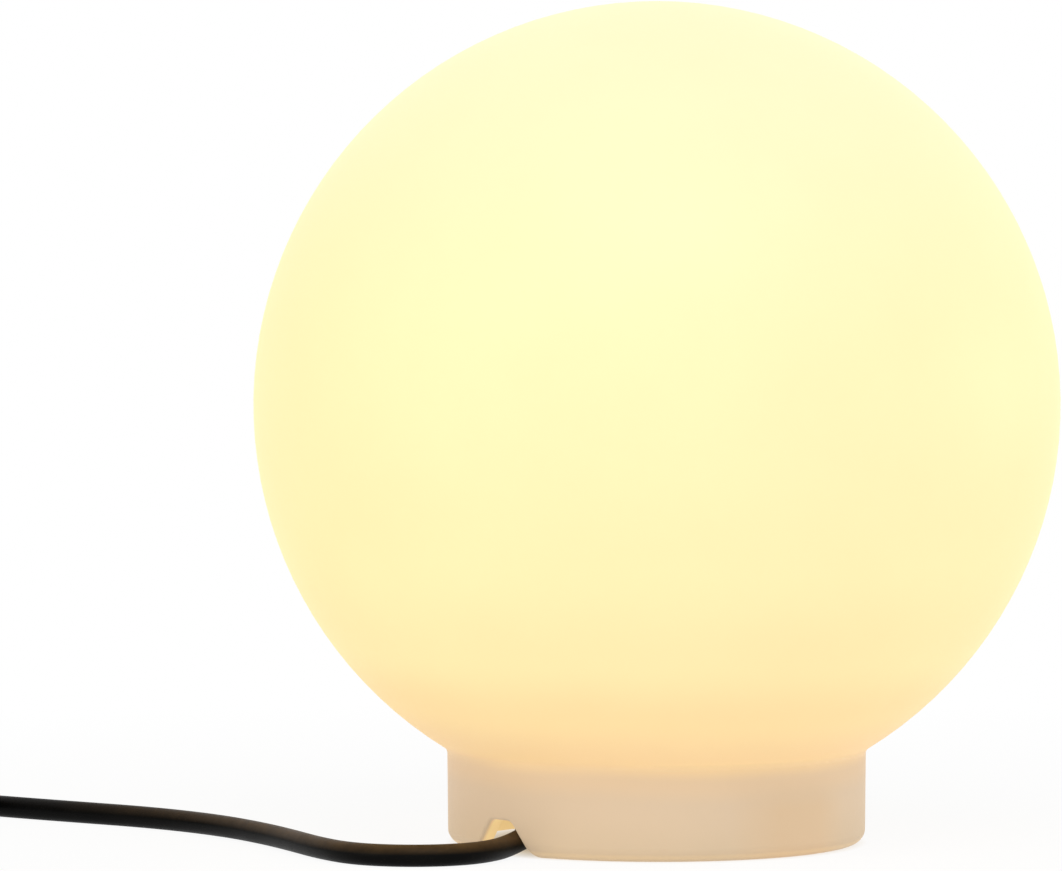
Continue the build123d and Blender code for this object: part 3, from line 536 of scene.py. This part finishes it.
def plug_profile():
    """Half width, half height and squareness at distances from the pin face."""
    rows = [(0.0, 16.2, 11.2, 3.6), (0.5, 17.2, 12.2, 3.6), (1.3, 17.8, 12.8, 3.6), (2.2, 18.0, 13.0, 3.6)]
    rows += [(t, 18.0 - 0.5 * sin(pi * (t - 6.0) / 20.0), 13.0 - 0.4 * sin(pi * (t - 6.0) / 20.0), 3.5)
             for t in even_steps(6.0, 26.0, 20)]
    for index, t in enumerate(even_steps(WAIST_START, BOOT_START - 1.5, 60)):
        part = (t - WAIST_START) / (BOOT_START - WAIST_START)
        ease = part * part * (3 - 2 * part)
        rib = 0.45 * half_waves(t - WAIST_START, 3.0, 2.0, 17.0)
        rows.append((t, 17.9 - 10.6 * ease - rib, 12.9 - 5.6 * ease - rib, 3.5 - 1.4 * ease))
    for t in even_steps(BOOT_START - 1.0, BOOT_END - 1.2, 96):
        part = (t - BOOT_START) / (BOOT_END - BOOT_START)
        groove = 0.75 * half_waves(t - BOOT_START, 4.2, 2.0, 27.0) ** 0.6
        rows.append((t, 6.7 - 2.0 * part - groove, 6.7 - 2.0 * part - groove, 2.05))
    tip_r = CORD_R - 0.2
    rows += [(BOOT_END - 0.4, 4.5, 4.5, 2.0), (BOOT_END, 4.0, 4.0, 2.0), (BOOT_END, tip_r, tip_r, 2.0)]
    return rows


def squarish(a, b, power, turn):
    """A point on a rounded-square outline."""
    c, s = cos(turn), sin(turn)
    return (copysign(a * abs(c) ** (2 / power), c), copysign(b * abs(s) ** (2 / power), s))


def make_plug():
    """The plug's body from the pin face to the end of the strain relief, closed at both ends."""
    around = 96
    points = []
    for t, a, b, power in plug_profile():
        for step in range(around):
            x, z = squarish(a, b, power, 2 * pi * (step + 0.5) / around)
            points.append((coil_out[0] + x, PIN_FACE_Y + t, PLUG_AXIS_Z + z))
    rows = len(points) // around
    faces = skin_faces(rows, around)
    faces.append(tuple(reversed(range(around))))
    faces.append(tuple((rows - 1) * around + step for step in range(around)))
    piece = mesh_object("moulded_plug", points, faces, materials["plug_rubber"], "base")
    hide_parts("plug_body")
    return piece


plug = make_plug()

# ---- Tie round the coil ----
TIE_WALL, TIE_PLY, TIE_HALF, TIE_EDGE = 1.0, 0.55, 5.0, 0.3
TIE_CLEAR, TIE_CORNER_STEPS = 0.9, 8
LOOSE_FROM, LOOSE_TO = 3, 31       # the places round the strap between which the outer ply lies
tie_inner = COIL_REACH - 1.5 * COIL_PITCH - 2 * COIL_EASE - CORD_R - TIE_CLEAR
tie_outer = COIL_REACH + CORD_R + TIE_CLEAR
tie_wide, tie_high = tie_outer - tie_inner, 3 * COIL_PITCH + 2 * CORD_R + 0.6


def tie_line(offset):
    """The strap's path round the turns, at an offset from its inner face: (y, z) points from its centre."""
    half_w, half_h = tie_wide / 2 - CORD_R, tie_high / 2 - CORD_R
    corners = ((half_w, half_h), (-half_w, half_h), (-half_w, -half_h), (half_w, -half_h))
    line = []
    for quarter, (cy, cz) in enumerate(corners):
        for step in range(TIE_CORNER_STEPS + 1):
            a = radians(90 * quarter + 90 * step / TIE_CORNER_STEPS)
            line.append((cy + (CORD_R + offset) * cos(a), cz + (CORD_R + offset) * sin(a)))
    return line


def flat_section(low, high, half):
    """The strap's outline with rounded edges: (across, outward) points."""
    edge = (high - low) / 4
    flat = half - TIE_EDGE
    return [(-half, low + edge), (-flat, low), (flat, low), (half, low + edge),
            (half, high - edge), (flat, high), (-flat, high), (-half, high - edge)]


def make_tie():
    """Two plies of flat strap; the outer ply stops part of the way round, at the loose end."""
    centre_y = COIL_CENTRE[1] - (tie_inner + tie_outer) / 2
    centre_z = tie_high / 2 + TIE_WALL
    points, faces = [], []
    for low, high, first, last in ((0.0, TIE_PLY, 0, None), (TIE_PLY, TIE_WALL, LOOSE_FROM, LOOSE_TO)):
        section = flat_section(low, high, TIE_HALF)
        lines = {offset: tie_line(offset) for offset in {o for _, o in section}}
        stations = range(len(lines[low]))[first:last]
        start = len(points)
        for index in stations:
            for x, offset in section:
                y, z = lines[offset][index]
                points.append((COIL_CENTRE[0] + x, centre_y + y, centre_z + z))
        rows, around = len(stations), len(section)
        faces += [tuple(start + i for i in face) for face in skin_faces(rows, around, closed=last is None)]
        if last is not None:
            faces.append(tuple(start + i for i in reversed(range(around))))
            faces.append(tuple(start + (rows - 1) * around + i for i in range(around)))
    piece = mesh_object("coil_strap", points, faces, materials["tie_fabric"], "base")
    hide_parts("coil_tie")
    return piece


strap = make_tie()


# ---- Floor, background and lights ----
def seen_directly(tree):
    """One for rays from the camera and for what glossy and clear surfaces show."""
    path = add(tree, "ShaderNodeLightPath")
    seen = maths(tree, "MAXIMUM", path.outputs["Is Camera Ray"], path.outputs["Is Glossy Ray"])
    return maths(tree, "MAXIMUM", seen, path.outputs["Is Transmission Ray"])


FLOOR_R, FLOOR_SIDES = 40.0, 64             # metres
FLOOR_COLOUR = (0.92, 0.92, 0.92)
NEAR_WHITE, NEAR = 0.92, (120.0, 500.0)     # share of plain white seen close to the lamp, and how far out
SHADE_WHITE, SHADE = 0.42, (46.0, 65.5)     # the same under the lamp
UNDER_LAMP = (0.90, 0.74, 0.52)
WHITE = (1.0, 1.0, 1.0)


def floor_material():
    """A pale floor that reads as white and still keeps a soft shadow close to the object."""
    material = bpy.data.materials.new("studio_floor")
    material.use_nodes = True
    tree = material.node_tree
    shader = tree.nodes["Principled BSDF"]
    shader.inputs["Base Color"].default_value = (*FLOOR_COLOUR, 1.0)
    shader.inputs["Roughness"].default_value = 0.9
    shader.inputs["Specular IOR Level"].default_value = 0.0
    place = add(tree, "ShaderNodeTexCoord").outputs["Object"]
    distance = add(tree, "ShaderNodeVectorMath", {0: place}, operation="LENGTH").outputs["Value"]
    share = spread(tree, distance, NEAR[0] * MM, NEAR[1] * MM, NEAR_WHITE, 1.0)
    # under the lamp the floor is in shade, with a little of the lamp's warm light
    shade = spread(tree, distance, SHADE[0] * MM, SHADE[1] * MM, SHADE_WHITE, 1.0)
    factor = maths(tree, "MULTIPLY", seen_directly(tree), maths(tree, "MULTIPLY", share, shade))
    paint = blend_colour(tree, rise(tree, distance, *SHADE), UNDER_LAMP, WHITE)
    white = add(tree, "ShaderNodeEmission", {"Color": paint, "Strength": 1.0}).outputs[0]
    mix = add(tree, "ShaderNodeMixShader", {0: factor, 1: shader.outputs[0], 2: white}).outputs[0]
    tree.links.new(mix, tree.nodes["Material Output"].inputs["Surface"])
    return material


def make_floor():
    """A wide disc just under the object, so that no two faces lie in one plane."""
    angles = [2 * pi * side / FLOOR_SIDES for side in range(FLOOR_SIDES)]
    points = [(FLOOR_R * cos(a), FLOOR_R * sin(a), 0.0) for a in angles]
    mesh = bpy.data.meshes.new("floor")
    mesh.from_pydata(points, [], [tuple(range(FLOOR_SIDES))])
    mesh.materials.append(floor_material())
    floor = bpy.data.objects.new("floor", mesh)
    floor.location.z = -0.02 * MM
    bpy.context.scene.collection.objects.link(floor)


WORLD_LEVEL = 0.42


def make_world():
    """Plain soft light all round, seen as white."""
    world = bpy.data.worlds.new("studio")
    bpy.context.scene.world = world
    world.use_nodes = True
    tree = world.node_tree
    soft = add(tree, "ShaderNodeBackground", {"Color": (*WHITE, 1.0), "Strength": WORLD_LEVEL}).outputs[0]
    white = add(tree, "ShaderNodeBackground", {"Color": (*WHITE, 1.0), "Strength": 1.0}).outputs[0]
    mix = add(tree, "ShaderNodeMixShader", {0: seen_directly(tree), 1: soft, 2: white}).outputs[0]
    tree.links.new(mix, tree.nodes["World Output"].inputs["Surface"])


def soft_light(name, towards, distance, size, power, colour):
    """A square soft box in a direction from the globe's centre, aimed at it."""
    data = bpy.data.lights.new(name, "AREA")
    data.size, data.energy, data.color = size, power, colour
    lamp = bpy.data.objects.new(name, data)
    direction = Vector(towards).normalized()
    lamp.location = Vector((0.0, 0.0, GLOBE_Z * MM)) + direction * distance
    lamp.rotation_mode = "QUATERNION"
    lamp.rotation_quaternion = (-direction).to_track_quat("-Z", "Y")
    bpy.context.scene.collection.objects.link(lamp)


make_floor()
make_world()
# name, direction, metres away, metres across, watts, colour
for light in (
    ("key", (0.20, -0.62, 0.80), 1.7, 1.1, 12.5, WHITE),
    ("right_edge", (1.0, 0.30, 0.05), 1.5, 0.5, 3.8, (1.0, 0.90, 0.74)),
    ("left_fill", (-0.85, -0.62, 0.22), 1.8, 1.0, 8.5, (1.0, 0.84, 0.58)),
):
    soft_light(*light)

# ---- Camera, as the photograph was taken ----
FOCAL_PX, FRAME_W = 9694.0, 1062.0
CAMERA_AT, CAMERA_AIM = Vector((0.0, -3000.0, 307.0)), Vector((-39.0, 0.0, 126.4))
camera_data = bpy.data.cameras.new("camera")
camera_data.sensor_width = 36.0
camera_data.lens = FOCAL_PX / FRAME_W * camera_data.sensor_width
camera_data.clip_start, camera_data.clip_end = 0.05, 200.0
camera = bpy.data.objects.new("camera", camera_data)
camera.location = CAMERA_AT * MM
camera.rotation_mode = "QUATERNION"
camera.rotation_quaternion = (CAMERA_AIM - CAMERA_AT).to_track_quat("-Z", "Y")
bpy.context.scene.collection.objects.link(camera)
bpy.context.scene.camera = camera
bpy.context.scene.view_settings.view_transform = "Standard"
